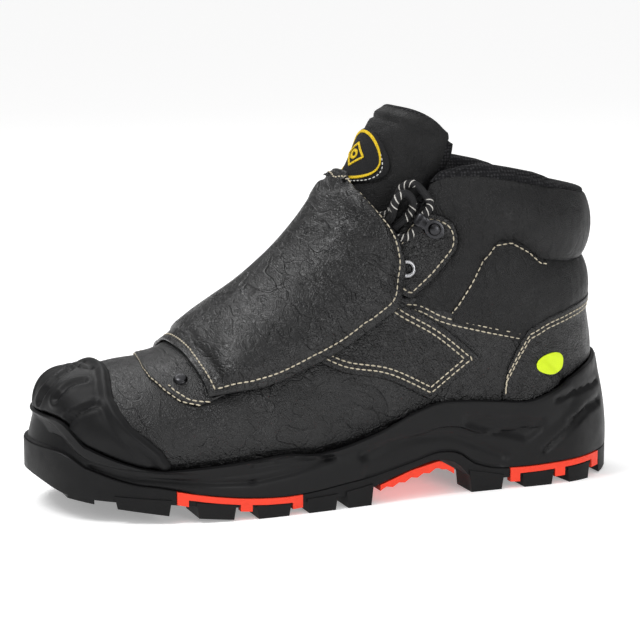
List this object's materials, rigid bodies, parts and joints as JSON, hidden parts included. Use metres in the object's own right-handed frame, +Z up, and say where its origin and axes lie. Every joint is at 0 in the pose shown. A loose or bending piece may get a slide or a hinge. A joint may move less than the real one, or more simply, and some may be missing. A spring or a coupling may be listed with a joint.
{
  "type": "metatarsal guard boot",
  "caption": "Left lace-up safety boot with a leather guard flap over the instep, a moulded toe bumper, a padded collar and tongue, and a lugged outsole with coral inserts.",
  "frame": {"origin": "centre of the boot's footprint on the floor", "axes": "+X from the toe to the heel, +Y towards the inner (medial) side, +Z up"},
  "size_m": [0.3028, 0.1077, 0.1897],
  "materials": {
    "black_leather": "full grain, satin",
    "black_synthetic": "fine grained, matte",
    "moulded_rubber": "moulded, semi-matte",
    "black_rubber": "moulded, matte",
    "coral_insert": "moulded, satin",
    "insole_foam": "woven cover, matte",
    "gunmetal": "dark, satin",
    "eyelet_metal": "polished",
    "label": "woven, matte",
    "reflective_tape": "retroreflective, satin",
    "lace": "round woven cord"
  },
  "bodies": {
    "root": {"arch_shank": "coral_insert", "eyelet_lateral": "eyelet_metal", "eyelet_medial": "eyelet_metal", "eyestay_lateral": "black_leather", "eyestay_medial": "black_leather", "guard_rivet_lateral": "gunmetal", "guard_rivet_medial": "gunmetal", "guard_tab": "black_leather", "heel_counter": "black_leather", "hook_rivet_lateral": "gunmetal", "hook_rivet_medial": "gunmetal", "insole": "insole_foam", "lace_hook_lateral": "gunmetal", "lace_hook_medial": "gunmetal", "lace_loop": "lace", "lace_tied": "lace", "met_guard": "black_leather", "midsole": "moulded_rubber", "outsole": "black_rubber", "reflective_strip": "reflective_tape", "side_strap_lateral": "black_leather", "side_strap_medial": "black_leather", "toe_bumper": "moulded_rubber", "tongue": "black_synthetic", "tongue_label": "label", "upper": "black_leather", "window_forefoot_lateral": "coral_insert", "window_forefoot_medial": "coral_insert", "window_heel_lateral": "coral_insert", "window_heel_medial": "coral_insert"}
  },
  "joints": []
}
